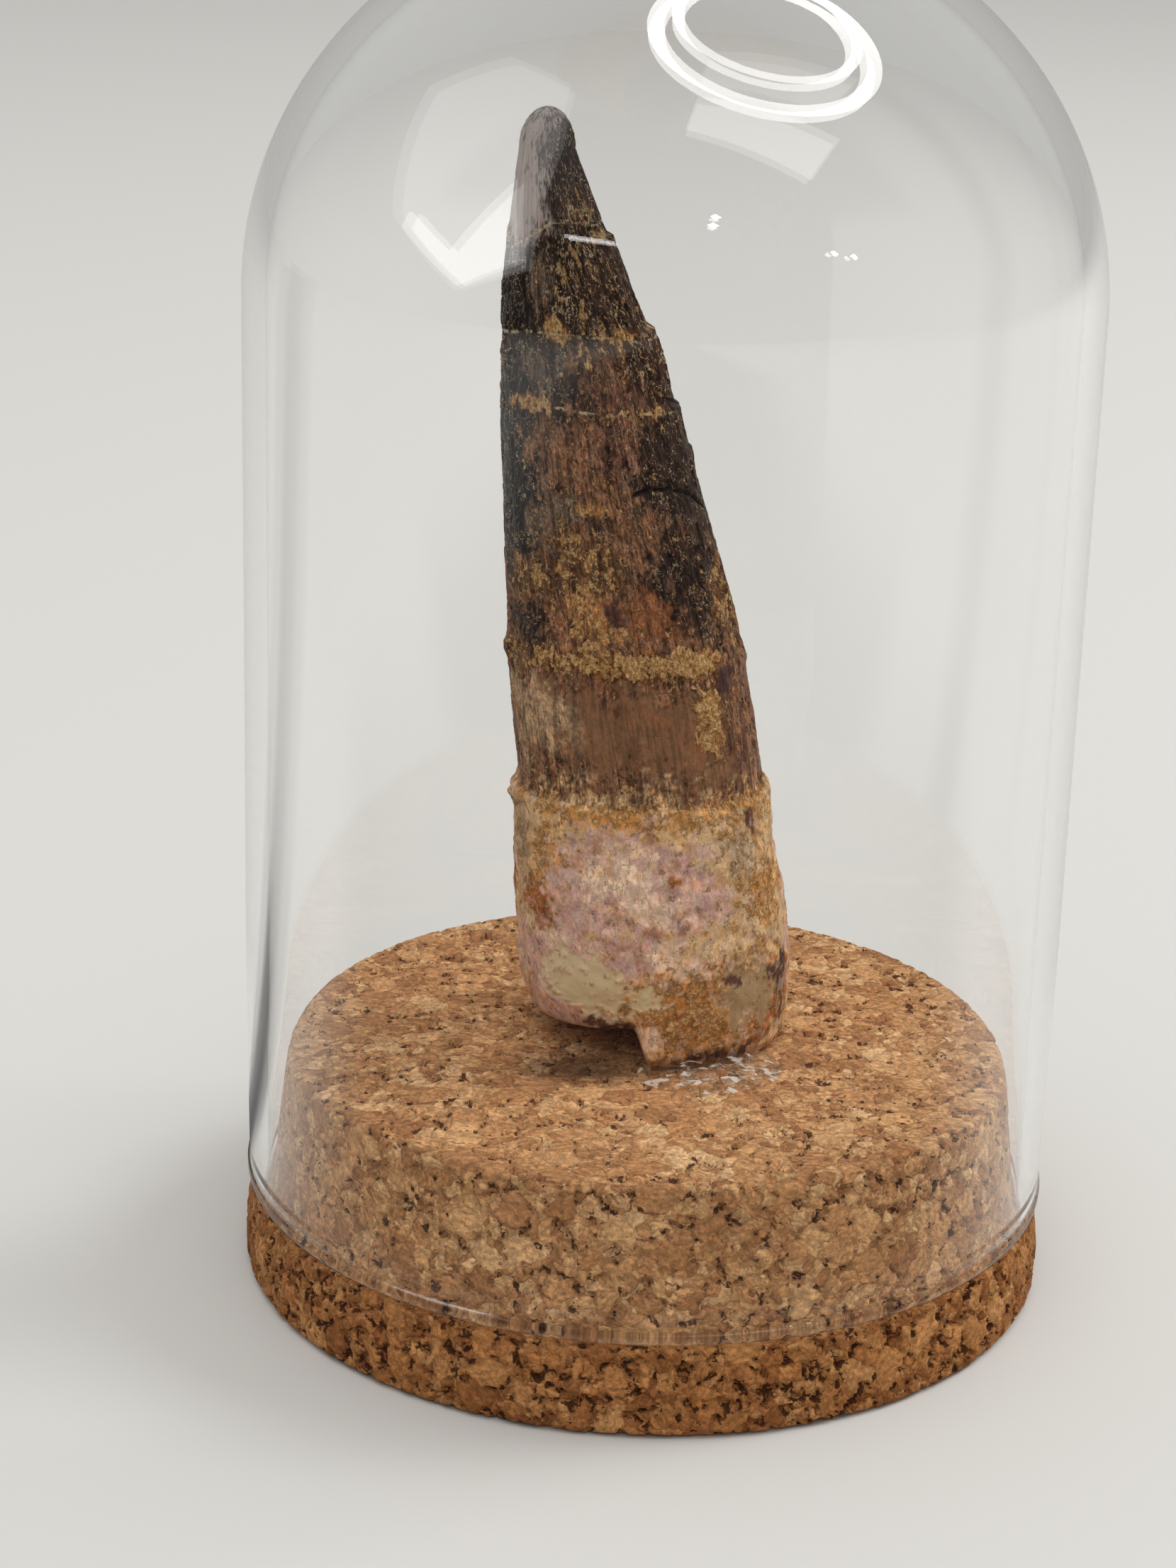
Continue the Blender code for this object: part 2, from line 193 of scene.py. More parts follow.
BACK_PATCHES = (  # finish, lowest and highest place, how many, half width and half height in mm
    ("near black", 74, 98, 5, 4, 6), ("wrinkled brown", 62, 98, 9, 3, 3.4),
    ("grey film", 62, 96, 5, 2.2, 3), ("pink brown", 62, 84, 4, 3, 3),
    ("ochre net", 61, 92, 9, 2.2, 1.8), ("squiggles", 86, 98, 3, 2, 2),
    ("bright ochre", 56, 90, 8, 1.7, 0.5), ("even brown", 50, 56, 4, 6, 4),
    ("pale grey", 50, 58, 3, 2.4, 2.4), ("mauve", 28, 44, 7, 6.4, 4.6),
    ("root ochre", 26, 46, 6, 4.2, 2.6), ("pink white", 26, 44, 6, 4, 2.2),
    ("cream streaks", 30, 45, 4, 2, 3), ("root rust", 25, 44, 4, 2.6, 2),
    ("khaki", 27, 33, 2, 3.4, 2.2), ("dark blot", 26, 46, 4, 1.6, 0.4),
)
RAGGED = ((2.4, 0.5), (0.9, 0.5), (0.4, 0.45))  # noise that breaks up the patches' edges: size, share
RAGGED_SHIFTS = (11.3, 23.7, 37.1, 53.9)
PALE_LINES = (  # pale hairlines across the crown, as (angle, height) points
    ((30, 98.4), (330, 98.2), (290, 98.8), (268, 98.7), (250, 97.9), (236, 97.2), (220, 96.6), (205, 96),
     (180, 96.2), (120, 97.4), (60, 97.8), (30, 98.4)),
    ((20, 88.6), (330, 88.3), (311, 88.7), (290, 89.1), (267, 89.2), (253, 89.4), (230, 89.3), (206, 88.7),
     (170, 88.9), (110, 89.8), (60, 89.2), (20, 88.6)),
    ((345, 82), (325, 82.2), (303, 82.7), (281, 82.5), (262, 82.9), (240, 83.2)),
)
OPEN_CRACKS = (  # dark open cracks, as (angle, height) points
    ((354, 73.2), (344, 74.1), (332, 75.2), (317, 75.8), (304, 76), (292, 75.6)),
    ((0, 82.6), (350, 82.9), (340, 83.3), (333, 83)),
    ((150, 72), (120, 73), (96, 72.4), (70, 73.4)),
)

# Glue: a low clear fillet in front of the foot
GLUE_START = -98
GLUE_END = -34
GLUE_WIDTH = 6.2
GLUE_HEIGHT = 1.3
GLUE_STEPS = 90
GLUE_ACROSS = 24

# Camera, in photo pixels and millimetres, fitted to the outlines of the cork and the dome
IMAGE_HEIGHT = 2212
FOCAL_PIXELS = 4400
CAMERA_DISTANCE = 307.5
CAMERA_ELEVATION = 26.549
CAMERA_YAW = -1.2668
CAMERA_PITCH = 8.2741
CAMERA_ROLL = 2.2463
SENSOR = 36

# Stage: the floor, the lamps' centre and the soft lights are in metres
FLOOR_SIZE = 6
FLAG_START = 42
FLAG_FULL = 62
FLAG_WIDTH = 150
STREAK_WAY = (-0.9, 0.436, 0)
LAMP_CENTRE = Vector((0, 0, 0.09))
SOFT_LIGHTS = (  # name, direction, distance, size, power
    ("key", (0.75, 0.25, 0.75), 1.5, 0.6, 8),
    ("top", (0, -0.4, 1), 2, 1.2, 6),
    ("fill", (-0.1, -0.85, 0.75), 1.4, 0.9, 2.2),
)
GLOW_RINGS = (  # name, strength, distance, direction, radius, width of the band
    ("ring lamp", 12, 900, (0.27, 0.005, 0.963), 340, 56),
    ("small ring lamp", 12, 900, (0.262, 0.085, 0.961), 262, 36),
)
RING_STEPS = 96
GLOW_SHEETS = (  # name, strength, distance, directions of the corners
    ("window", 1.7, 1200,
     ((-0.73, 0.18, 0.66), (-0.53, 0.05, 0.85), (-0.38, -0.23, 0.9), (-0.45, -0.47, 0.76),
      (-0.6, -0.75, 0.27), (-0.83, -0.54, 0.12), (-0.94, -0.12, 0.33))),
    ("low window", 5, 1150,
     ((-0.8, -0.2, 0.56), (-0.58, -0.42, 0.7), (-0.62, -0.72, 0.3), (-0.82, -0.54, 0.14),
      (-0.93, -0.2, 0.3))),
    ("panel", 3.2, 1200,
     ((0.06, -0.36, 0.93), (0.57, -0.32, 0.75), (0.51, -0.55, 0.66), (0.02, -0.52, 0.86))),
    ("small panel", 1.8, 1200,
     ((0.1, -0.12, 0.99), (0.56, 0.01, 0.83), (0.5, -0.25, 0.82), (0.05, -0.31, 0.95))),
    ("tube lamp", 9, 1200,
     ((-0.456, -0.77, 0.448), (-0.254, -0.86, 0.445), (-0.254, -0.868, 0.427), (-0.456, -0.78, 0.43))),
)
SPOTS = ((0.158, -0.812, 0.562), (0.151, -0.836, 0.528), (0.63, -0.681, 0.373), (0.698, -0.627, 0.346))
SPOT_WIDTH = 0.026
SPOT_HEIGHT = 0.015


class Tree:
    """Short calls for building a material's nodes or geometry nodes."""

    def __init__(self, tree):
        self.tree = tree

    def feed(self, socket, value):
        if isinstance(value, bpy.types.NodeSocket):
            self.tree.links.new(value, socket)
        else:
            socket.default_value = value

    def add(self, kind, inputs=None, **settings):
        node = self.tree.nodes.new(kind)
        for name, value in settings.items():
            setattr(node, name, value)
        for socket, value in (inputs or {}).items():
            self.feed(node.inputs[socket], value)
        return node

    def math(self, operation, *values):
        return self.add("ShaderNodeMath", dict(enumerate(values)), operation=operation).outputs[0]

    def minus(self, *values):
        return self.math("SUBTRACT", *values)

    def times(self, *values):
        return self.math("MULTIPLY", *values)

    def times_add(self, *values):
        return self.math("MULTIPLY_ADD", *values)

    def stack(self, *layers):
        """The sum of layers, each a value and its weight."""
        total = self.times(*layers[0])
        for value, weight in layers[1:]:
            total = self.times_add(value, weight, total)
        return total

    def vector(self, operation, *values):
        node = self.add("ShaderNodeVectorMath", dict(enumerate(values)), operation=operation)
        return node.outputs["Value" if operation in ("DOT_PRODUCT", "LENGTH") else "Vector"]

    def dot(self, *values):
        return self.vector("DOT_PRODUCT", *values)

    def scaled(self, value, factor):
        node = self.add("ShaderNodeVectorMath", {0: value, "Scale": factor}, operation="SCALE")
        return node.outputs["Vector"]

    def mix(self, factor, first, second, blend="MIX"):
        inputs = {0: factor, 6: first, 7: second}
        return self.add("ShaderNodeMix", inputs, data_type="RGBA", blend_type=blend).outputs[2]

    def shade(self, factor, tint, by):
        return self.mix(factor, tint, by, "MULTIPLY")

    def span(self, value, low, high, to_low=0, to_high=1):
        """Maps low..high to to_low..to_high smoothly, and holds it there outside."""
        inputs = {"Value": value, "From Min": low, "From Max": high, "To Min": to_low, "To Max": to_high}
        return self.add("ShaderNodeMapRange", inputs, interpolation_type="SMOOTHSTEP").outputs[0]

    def fade(self, value, low, high):
        """Falls smoothly from 1 at low to 0 at high."""
        return self.span(value, low, high, 1, 0)

    def noise(self, place, scale, detail=2, roughness=0.5, output=0):
        inputs = {"Vector": place, "Scale": scale, "Detail": detail, "Roughness": roughness}
        return self.add("ShaderNodeTexNoise", inputs).outputs[output]

    def cells(self, place, size):
        """A node of cells of a size in millimetres, and how far each place is from a cell's edge."""
        inputs = {"Vector": place, "Scale": 1 / (size * MM)}
        edge = self.add("ShaderNodeTexVoronoi", inputs, feature="DISTANCE_TO_EDGE")
        return self.add("ShaderNodeTexVoronoi", inputs), edge.outputs["Distance"]

    def surface(self, value):
        self.feed(self.tree.nodes["Material Output"].inputs["Surface"], value)

    def attribute(self, name, output="Fac"):
        return self.add("ShaderNodeAttribute", attribute_name=name).outputs[output]

    def ramp(self, value, *stops):
        """A colour ramp through stops of (place, sRGB colour)."""
        node = self.add("ShaderNodeValToRGB", {"Fac": value})
        elements = node.color_ramp.elements
        while len(elements) < len(stops):
            elements.new(1)
        for element, (place, colour) in zip(elements, stops):
            element.position = place
            element.color = rgba(*colour)
        return node.outputs["Color"]


def linear(value):
    """One sRGB channel from 0 to 255 as linear light."""
    value /= 255
    return value / 12.92 if value <= 0.04045 else ((value + 0.055) / 1.055) ** 2.4


def rgba(*colour):
    return (*(linear(value) for value in colour), 1)


def new_material(name, inputs):
    """A material, its nodes and its shader, with plain inputs set."""
    material = bpy.data.materials.new(name)
    material.use_nodes = True
    shader = material.node_tree.nodes["Principled BSDF"]
    for socket, value in inputs.items():
        shader.inputs[socket].default_value = value
    return material, Tree(material.node_tree), shader


def bare_material(name):
    """A material without its usual shader, and its nodes."""
    material, tree, shader = new_material(name, {})
    tree.tree.nodes.remove(shader)
    return material, tree


def finish_shader(tree, shader, tint, rough, height, strength, distance):
    """Feeds a shader its colour, its roughness and a bump, whose distance is in millimetres."""
    bump = tree.add("ShaderNodeBump", {"Height": height, "Strength": strength, "Distance": distance * MM})
    tree.feed(shader.inputs["Base Color"], tint)
    tree.feed(shader.inputs["Roughness"], rough)
    tree.feed(shader.inputs["Normal"], bump.outputs[0])


def new_object(name, data):
    thing = bpy.data.objects.new(name, data)
    bpy.context.collection.objects.link(thing)
    return thing


def mesh_piece(name, points, faces, material):
    """A smooth-shaded object from points in millimetres."""
    mesh = bpy.data.meshes.new(name)
    mesh.from_pydata((np.asarray(points) * MM).tolist(), [], faces)
    mesh.materials.append(material)
    mesh.shade_smooth()
    return new_object(name, mesh)


def arc(centre, size, start, end, steps):
    """Points of an elliptical arc, with its angles in degrees and both ends included."""
    turns = np.radians(np.linspace(start, end, steps + 1))
    return [(centre[0] + size[0] * cos(t), centre[1] + size[1] * sin(t)) for t in turns]


def straight(start, end, step):
    """Points of a straight stretch about a step apart, without its two ends."""
    count = max(round(dist(start, end) / step), 1)
    return [tuple(np.add(start, np.subtract(end, start) * (i / count))) for i in range(1, count)]


def ring_faces(low, high, count):
    """Faces between two rings of equal count, whose first points are low and high."""
    return [(low + j, low + (j + 1) % count, high + (j + 1) % count, high + j) for j in range(count)]


def closed_rings(grid, tips):
    """Points and faces of a skin over rings of points, with its two ends closed by tips."""
    rings, count, _ = grid.shape
    points = np.concatenate(([tips[0]], grid.reshape(-1, 3), [tips[1]]))
    faces = []
    for i in range(rings - 1):
        low = 1 + i * count
        faces += ring_faces(low, low + count, count)
    top = 1 + (rings - 1) * count
    for j in range(count):
        k = (j + 1) % count
        faces.append((0, 1 + k, 1 + j))
        faces.append((top + j, top + k, len(points) - 1))
    return points, faces


# Cork

def disc_grid(count):
    """A square lattice bent into a unit disc, and its border's indices in order of angle."""
    points = []
    for b in np.linspace(-1, 1, count + 1):
        for a in np.linspace(-1, 1, count + 1):
            if abs(a) >= abs(b) and a != 0:
                reach, turn = a, pi / 4 * b / a
            elif b != 0:
                reach, turn = b, pi / 2 - pi / 4 * a / b
            else:
                reach = turn = 0
            points.append((reach * cos(turn), reach * sin(turn)))
    row = count + 1
    faces = [(k, k + 1, k + 1 + row, k + row) for k in range(row * count) if (k + 1) % row]
    border = [k for k in range(row * row) if min(k % row, k // row) == 0 or max(k % row, k // row) == count]
    border.sort(key=lambda k: atan2(points[k][1], points[k][0]) % (2 * pi))
    return points, faces, border


def cork_profile():
    """The cork's side as (radius, height) points, from the plug's top edge down to the floor."""
    edge_centre = (PLUG_TOP_RADIUS - PLUG_EDGE, PLUG_TOP - PLUG_EDGE)
    shoulder = (PLUG_RADIUS, DISC_HEIGHT)
    corner = 0.5
    profile = arc(edge_centre, (PLUG_EDGE, PLUG_EDGE), 90, 0, 5)
    profile += straight(profile[-1], shoulder, CORK_ROW) + [shoulder]
    rim = arc((DISC_UNDERSIDE_RADIUS - corner, DISC_HEIGHT - corner), (corner, corner), 90, 10, 3)
    profile += straight(shoulder, rim[0], CORK_ROW) + rim
    waist = (DISC_RADIUS, DISC_HEIGHT / 2)
    profile += straight(rim[-1], waist, CORK_ROW) + [waist]
    foot = arc((DISC_RADIUS - DISC_EDGE, DISC_EDGE), (DISC_EDGE, DISC_EDGE), 0, -90, 5)
    profile += straight(waist, foot[0], CORK_ROW) + foot
    return profile


def cork_mesh():
    flat, faces, border = disc_grid(CORK_GRID)
    profile = cork_profile()
    top_radius = profile[0][0]
    points = [(x * top_radius, y * top_radius, PLUG_TOP) for x, y in flat]
    turns = [atan2(flat[k][1], flat[k][0]) for k in border]
    count = len(border)
    last = border
    for radius, height in profile[1:] + [(radius * DISC_UNDERSIDE_RADIUS, 0) for radius in (0.9, 0.6, 0.3)]:
        first = len(points)
        points += [(radius * cos(t), radius * sin(t), height) for t in turns]
        ring = list(range(first, first + count))
        faces += [(last[j], ring[j], ring[(j + 1) % count], last[(j + 1) % count]) for j in range(count)]
        last = ring
    points.append((0, 0, 0))
    faces += [(last[(j + 1) % count], last[j], len(points) - 1) for j in range(count)]
    return points, faces


def cork_pattern(tree, place):
    """Pressed cork at a place in metres: each granule's tone and grain, the seams and the pores."""
    bent = place
    for size, reach in ((1.7, 1.4), (0.45, 0.5)):
        drift = tree.noise(place, 1 / (size * MM), output=1)
        drift = tree.vector("SUBTRACT", drift, (0.5, 0.5, 0.5))
        bent = tree.vector("ADD", bent, tree.scaled(drift, reach * MM))
    large, large_edge = tree.cells(bent, GRANULE)
    small, small_edge = tree.cells(bent, SMALL_GRANULE)
    large_key = tree.dot(large.outputs["Color"], (1, 0, 0))
    large_tone = tree.dot(large.outputs["Color"], (0, 1, 0))
    small_tone = tree.dot(small.outputs["Color"], (0, 1, 0))
    crushed = tree.span(large_key, 0.38, 0.4)
    tone = tree.times(large_tone, tree.minus(1, crushed))
    tone = tree.math("ADD", tree.times(small_tone, crushed), tone)
    small_seam = tree.times(tree.fade(small_edge, 0, 0.1), crushed)
    seam = tree.math("MAXIMUM", tree.fade(large_edge, 0, 0.07), small_seam)
    near_small = tree.times(tree.fade(small_edge, 0, 0.26), crushed)
    near = tree.math("MAXIMUM", tree.fade(large_edge, 0.02, 0.17), near_small)
    low = tree.fade(tree.dot(place, (0, 0, 1)), DISC_HEIGHT * MM, (DISC_HEIGHT + 0.1) * MM)
    openness = tree.times_add(low, 0.05, tree.noise(place, 1 / (1.2 * MM), 3, 0.6))
    open_here = tree.span(openness, 0.55, 0.64)
    pore = tree.times(near, open_here)
    local = tree.vector("SUBTRACT", bent, large.outputs["Position"])
    spin = tree.scaled(large.outputs["Color"], 2 * pi)
    turned = {"Vector": local, "Rotation": spin}
    turned = tree.add("ShaderNodeVectorRotate", turned, rotation_type="EULER_XYZ").outputs[0]
    along = tree.vector("MULTIPLY", turned, (1, 1, 0.2))
    grain = tree.noise(along, 1 / (0.5 * MM), 3, 0.6)
    dash = tree.span(tree.noise(along, 1 / (0.75 * MM)), 0.61, 0.7)
    return {"tone": tone, "seam": seam, "pore": pore, "grain": grain, "dash": dash, "low": low}


def carve_cork(piece):
    """Sinks the cork's pores and seams into its mesh, where the material shows them."""
    group = bpy.data.node_groups.new("cork carving", "GeometryNodeTree")
    for way in ("INPUT", "OUTPUT"):
        group.interface.new_socket("Geometry", in_out=way, socket_type="NodeSocketGeometry")
    tree = Tree(group)
    start = tree.add("NodeGroupInput")
    end = tree.add("NodeGroupOutput")
    pattern = cork_pattern(tree, tree.add("GeometryNodeInputPosition").outputs[0])
    sunk = tree.stack(*((pattern[name], -depth * MM) for name, depth in CARVING.items()))
    move = tree.scaled(tree.add("GeometryNodeInputNormal").outputs[0], sunk)
    set_position = tree.add("GeometryNodeSetPosition", {"Geometry": start.outputs[0], "Offset": move})
    tree.feed(end.inputs[0], set_position.outputs[0])
    modifier = piece.modifiers.new("carving", "NODES")
    modifier.node_group = group
    apply_modifiers(piece)


def apply_modifiers(piece):
    depsgraph = bpy.context.evaluated_depsgraph_get()
    done = bpy.data.meshes.new_from_object(piece.evaluated_get(depsgraph))
    done.name = piece.name
    piece.modifiers.clear()
    piece.data = done


def cork_material():
    material, tree, shader = new_material("pressed cork", {"Specular IOR Level": 0.12})
    place = tree.add("ShaderNodeTexCoord").outputs["Object"]
    pattern = cork_pattern(tree, place)
    tint = tree.ramp(pattern["tone"], (0, (168, 116, 76)), (0.35, (202, 147, 99)), (0.72, (222, 170, 118)),
                     (1, (234, 188, 138)))
    patchy = tree.noise(place, 1 / (5.0 * MM), 4, 0.6)
    tint = tree.mix(tree.span(patchy, 0.35, 0.7, 0, 0.35), tint, rgba(196, 134, 82))
    mealy = tree.noise(place, 1 / (0.5 * MM), 4, 0.7)
    tint = tree.shade(1, tint, tree.span(mealy, 0.3, 0.7, 0.72, 1.24))
    tint = tree.shade(1, tint, tree.span(pattern["grain"], 0.32, 0.68, 0.68, 1.24))
    specks = tree.noise(place, 1 / (0.34 * MM), 2, 0.6)
    tint = tree.mix(tree.span(specks, 0.67, 0.74, 0, 0.7), tint, rgba(104, 62, 36))
    tint = tree.mix(tree.times(pattern["seam"], 0.28), tint, rgba(120, 74, 44))
    tint = tree.mix(tree.times(pattern["dash"], 0.75), tint, rgba(116, 72, 50))
    tint = tree.mix(tree.span(pattern["pore"], 0.25, 0.75, 0, 0.9), tint, rgba(74, 43, 28))
    tint = tree.shade(pattern["low"], tint, (0.68, 0.56, 0.42, 1))
    # painted shadow: darkens the cork in front of the tooth's raised lobe, most at the patch's centre
    from_painted_shadow = tree.vector("MULTIPLY", tree.vector("SUBTRACT", place, PAINTED_SHADOW_CENTRE * MM), (1, 1.8, 0))
    painted_shadow = tree.fade(tree.vector("LENGTH", from_painted_shadow), 0.2 * PAINTED_SHADOW_RADIUS * MM, PAINTED_SHADOW_RADIUS * MM)
    tint = tree.shade(painted_shadow, tint, (0.28, 0.25, 0.24, 1))
    rough = tree.span(pattern["grain"], 0.2, 0.8, 0.92, 0.74)
    height = tree.stack((pattern["seam"], -0.4), (pattern["grain"], 0.35), (mealy, 0.8),
                        (pattern["pore"], -1))
    finish_shader(tree, shader, tint, rough, height, 0.6, 0.25)
    return material


def make_cork():
    points, faces = cork_mesh()
    piece = mesh_piece("cork_body", points, faces, cork_material())
    carve_cork(piece)
    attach(piece, "root")
    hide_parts("cork_base")


# Glass dome

def lets_lamps_through(tree, shader, tint):
    """Mixes a tinted Transparent in for rays of shadow and of soft light, which reach what stands inside."""
    path = tree.add("ShaderNodeLightPath")
    through = tree.math("MAXIMUM", path.outputs["Is Shadow Ray"], path.outputs["Is Diffuse Ray"])
    clear = tree.add("ShaderNodeBsdfTransparent", {"Color": tint})
    both = {0: through, 1: shader.outputs[0], 2: clear.outputs[0]}
    tree.surface(tree.add("ShaderNodeMixShader", both).outputs[0])


def glass_material():
    material, tree, shader = new_material("clear blown glass", {
        "Base Color": (0.995, 0.998, 0.997, 1), "Roughness": 0, "IOR": 1.41, "Transmission Weight": 1})
    facing = tree.add("ShaderNodeLayerWeight", {"Blend": 0.5}).outputs["Facing"]
    edge = tree.span(facing, 0.55, 1)
    tint = tree.mix(edge, (0.97, 0.98, 0.98, 1), (0.45, 0.47, 0.48, 1))
    lets_lamps_through(tree, shader, tint)
    return material


def dome_profile():
    """The dome's wall as (radius, height) points, from inside its crown round its rim to the outside."""
    inner_radius = DOME_RADIUS - DOME_WALL
    inner_crown = CROWN_HEIGHT - CROWN_THICKNESS
    rim_radius = DOME_WALL / 2
    rim_centre = (DOME_RADIUS - rim_radius, DISC_HEIGHT + DOME_GAP + rim_radius)
    spring = (0, DOME_SPRING)
    inside = arc(spring, (inner_radius, inner_crown), 90, 0, 56)
    rim = arc(rim_centre, (rim_radius, rim_radius), 180, 360 + RIM_BEAD, 26)
    neck = (rim[-1][0], rim[-1][1] + 0.4)
    full = (DOME_RADIUS, RIM_BLEND)
    outside = arc(spring, (DOME_RADIUS, CROWN_HEIGHT), 0, 90, 56)
    wall_step, neck_step = 4, 1.5
    inner = inside + straight(inside[-1], rim[0], wall_step)
    outer = [neck] + straight(neck, full, neck_step) + [full] + straight(full, outside[0], wall_step)
    return inner + rim + outer + outside


def make_dome():
    profile = dome_profile()
    turns = np.linspace(0, 2 * pi, DOME_SEGMENTS, endpoint=False)
    rings = []
    for radius, height in profile[1:-1]:
        ring = []
        for t in turns:
            wave = noise.noise(Vector((1.6 * cos(t), 1.6 * sin(t), height / 26)))
            reach = radius - GLASS_WAVE * (0.5 + wave * 0.5) * min(radius / 10, 1)
            ring.append((reach * cos(t), reach * sin(t), height))
        rings.append(ring)
    tips = [(0, 0, profile[end][1]) for end in (0, -1)]
    points, faces = closed_rings(np.array(rings), tips)
    piece = mesh_piece("dome_glass", points, faces, glass_material())
    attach(piece, "root")
    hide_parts("glass_dome")


# Tooth

def smooth(t):
    t = np.clip(t, 0, 1)
    return t * t * (3 - 2 * t)


def read_edge(edge, heights):
    """Reads a smooth curve through an edge's (height, place) points at many heights."""
    z, x = np.array(edge[::-1]).T
    order = np.arange(len(z))
    before = np.maximum(order - 1, 0)
    after = np.minimum(order + 1, len(z) - 1)
    slope = (x[after] - x[before]) / (z[after] - z[before])
    i = np.clip(np.searchsorted(z, heights, side="right") - 1, 0, len(z) - 2)
    span = z[i + 1] - z[i]
    t = np.clip((heights - z[i]) / span, 0, 1)
    bend_in = (t ** 3 - 2 * t ** 2 + t) * span * slope[i]
    bend_out = (t ** 3 - t ** 2) * span * slope[i + 1]
    return x[i] + (x[i + 1] - x[i]) * smooth(t) + bend_in + bend_out


def tooth_section(heights):
    """The middle and half width of the tooth at many heights, seen from the front."""
    left = read_edge(LEFT_EDGE, heights)
    right = read_edge(RIGHT_EDGE, heights)
    return (left + right) / 2, (right - left) / 2


FOOT_MIDDLE, FOOT_HALF = (float(value) for value in tooth_section(np.array(TOOTH_FLOOR)))


def noise_field(points, size, shift=0):
    """Smooth noise from about -1 to 1 at many points, with bumps of about a size."""
    scaled = points.reshape(-1, 3) / size + shift
    return np.array([noise.noise(Vector(p)) for p in scaled.tolist()]).reshape(points.shape[:-1])


def degrees_from(turn, angle):
    """How many degrees each turn lies past an angle, from -180 to 180."""
    return (np.degrees(turn) - angle + 180) % 360 - 180


def ring_noise(turn, radius, height):
    """Smooth noise on a ring, so that it joins up all round."""
    ring = (radius * np.cos(turn), radius * np.sin(turn), height + turn * 0)
    return noise_field(np.stack(ring, axis=-1), 1)


def solid_relief(turn, height):
    """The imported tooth's own relief: its lumps, enamel edge, ledges and crust bands."""
    lump = ring_noise(turn, 2.2, height / LUMP_SIZE)
    edge = ENAMEL_EDGE + ENAMEL_EDGE_WAVE * ring_noise(turn, 2, 6)
    in_root = smooth(edge - height)
    out = in_root * (ROOT_STEP + ROOT_LUMP * lump) + (1 - in_root) * CROWN_LUMP * lump
    for top, angle, half_width, stand, fade in LEDGES:
        below = top - height
        fall = np.where((below >= 0) & (below < fade), 1 - below / fade, 0)
        out += stand * fall * smooth(1 - np.abs(degrees_from(turn, angle)) / half_width)
    broken = 0.2 + 0.6 * smooth(0.5 + 1.2 * ring_noise(turn, 7.5, height / 1.6))
    for middle, angle, half_width, half_height, stand in CRUSTS:
        band = smooth(1 - np.abs(height - middle) / half_height)
        out += stand * broken * band * smooth(1 - np.abs(degrees_from(turn, angle)) / half_width)
    return out, in_root


def underside(x, y):
    """The height of the tooth's underside: low on the right, broken away on the left."""
    lobe = smooth((NOTCH_X - x) / NOTCH_WIDTH + 0.5)
    behind = smooth(y / 8)
    front_lift = LOBE_LIFT - LOBE_SAG * np.maximum(NOTCH_X - x, 0)
    lift = front_lift + (LOBE_LIFT_BEHIND - front_lift) * behind
    from_middle = np.hypot(x - FOOT_MIDDLE, y - TOOTH_CENTRE_Y)
    hollow = HOLLOW_DEPTH * smooth(1.5 - from_middle / HOLLOW_RADIUS)
    return TOOTH_FLOOR + np.maximum(lift * lobe, hollow)


def tooth_rings():
    """Each ring's height, inset, shrink, place above the underside, share of freedom from it and top."""
    rows = []
    floor_steps, edge_steps, side_steps, tip_steps = 22, 8, 22, 18
    half = FOOT_HALF - FOOT_EDGE
    for i in range(1, floor_steps + 1):
        rows.append((TOOTH_FLOOR, FOOT_EDGE + half * (1 - i / floor_steps) * 0.99, 1, 0, 0, FOOT_TOP))
    for t in np.linspace(0, pi / 2, edge_steps + 1)[1:]:
        above = FOOT_EDGE * (1 - cos(t))
        rows.append((TOOTH_FLOOR + above, FOOT_EDGE * (1 - sin(t)), 1, above, 0, FOOT_TOP))
    edge_top = TOOTH_FLOOR + FOOT_EDGE
    for t in np.linspace(0, 1, side_steps + 1)[1:]:
        rows.append((edge_top + (FOOT_TOP - edge_top) * t, 0, 1, FOOT_EDGE, t, FOOT_TOP))
    main_steps = round((TIP_BASE - FOOT_TOP) / TOOTH_RING_STEP)
    for height in np.linspace(FOOT_TOP, TIP_BASE, main_steps + 1)[1:]:
        rows.append((height, 0, 1, 0, 1, height))
    for t in np.linspace(0, pi / 2, tip_steps + 1)[1:-1]:
        rise = (TOOTH_TIP - TIP_BASE) * sin(t)
        rows.append((TIP_BASE, 0, cos(t), 0, 1, TIP_BASE + rise))
    return np.array(rows).T[..., None]


def distance_to_line(turn, height, radius, line):
    """How far each point lies from a line of (angle, height) points, in millimetres."""
    nearest = np.full(turn.shape, 99)
    for (a0, h0), (a1, h1) in zip(line, line[1:]):
        across = np.radians((a1 - a0 + 180) % 360 - 180) * radius
        away = np.radians(degrees_from(turn, a0)) * radius
        up = height - h0
        rise = h1 - h0
        t = np.clip((away * across + up * rise) / (across ** 2 + rise ** 2), 0, 1)
        nearest = np.minimum(nearest, np.hypot(away - across * t, up - rise * t))
    return nearest


def back_patches():
    """The unseen back's patches, scattered by a fixed seed in the front's finishes."""
    chance = np.random.default_rng(5)
    made = []
    for finish, low, high, count, half_width, half_height in BACK_PATCHES:
        for _ in range(count):
            size = chance.uniform(0.7, 1.3)
            made.append((finish, chance.uniform(-5, 185), chance.uniform(low, high),
                         half_width * size, half_height * size, chance.uniform(-25, 25)))
    return tuple(made)


